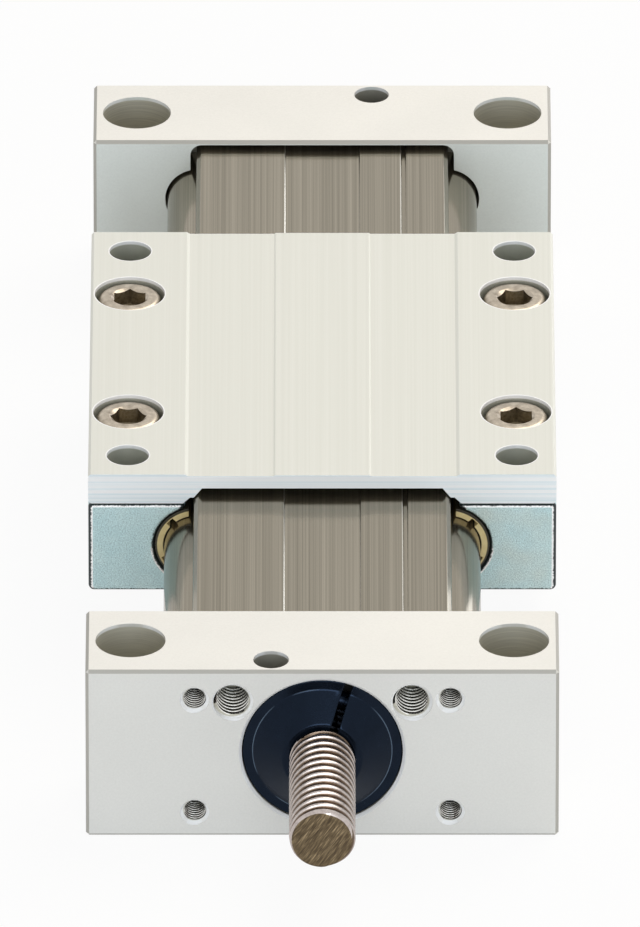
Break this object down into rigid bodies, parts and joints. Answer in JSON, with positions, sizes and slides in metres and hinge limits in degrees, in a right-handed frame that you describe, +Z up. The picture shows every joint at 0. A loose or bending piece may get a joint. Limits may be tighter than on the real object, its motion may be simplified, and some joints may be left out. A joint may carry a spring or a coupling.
{
  "type": "linear slide module",
  "caption": "Lead-screw linear slide: a carriage glides on an inverted round-edged rail between end blocks, moved by a trapezoidal screw with a bare drive end.",
  "frame": {"origin": "centre of the four base fixing holes, on the underside of the end blocks", "axes": "+X across to the right seen from the drive end, +Y along the rail away from the drive end, +Z up"},
  "size_m": [0.074, 0.2296, 0.0317],
  "materials": {
    "anodised": "clear anodised",
    "hard_anodised": "hard anodised, drawn",
    "rolled_screw": "rolled",
    "blackened_steel": "black oxide",
    "screw_steel": "stainless",
    "zinc": "die cast, chromated",
    "glide_polymer": "moulded",
    "nut_polymer": "turned"
  },
  "bodies": {
    "base": {"guide_rail": "hard_anodised", "front_end_block": "anodised", "front_screw_bush": "glide_polymer", "rear_end_block": "anodised", "rear_screw_bush": "glide_polymer"},
    "screw": {"lead_screw": "rolled_screw", "front_clamp_ring": "blackened_steel", "front_ring_screw": "blackened_steel", "rear_clamp_ring": "blackened_steel", "rear_ring_screw": "blackened_steel"},
    "carriage": {"carriage_plate": "anodised", "nut_carrier": "anodised", "lead_nut": "nut_polymer", "nut_screws": "screw_steel", "bearing_housing_front_left": "zinc", "glide_liner_front_left": "glide_polymer", "plate_screw_front_left": "screw_steel", "bearing_housing_front_right": "zinc", "glide_liner_front_right": "glide_polymer", "plate_screw_front_right": "screw_steel", "bearing_housing_rear_left": "zinc", "glide_liner_rear_left": "glide_polymer", "plate_screw_rear_left": "screw_steel", "bearing_housing_rear_right": "zinc", "glide_liner_rear_right": "glide_polymer", "plate_screw_rear_right": "screw_steel"}
  },
  "joints": [
    {"name": "screw_spin", "type": "hinge", "parent": "base", "child": "screw", "pos_m": [0, 0, 0.015], "axis": [0, 1, 0], "continuous": true},
    {"name": "carriage_slide", "type": "slide", "parent": "base", "child": "carriage", "axis": [0, 1, 0], "range_m": [-0.04, 0.035]}
  ],
  "couplings": [
    {"joint": "screw_spin", "follows": "carriage_slide", "rad_per_m": -3141.6}
  ]
}
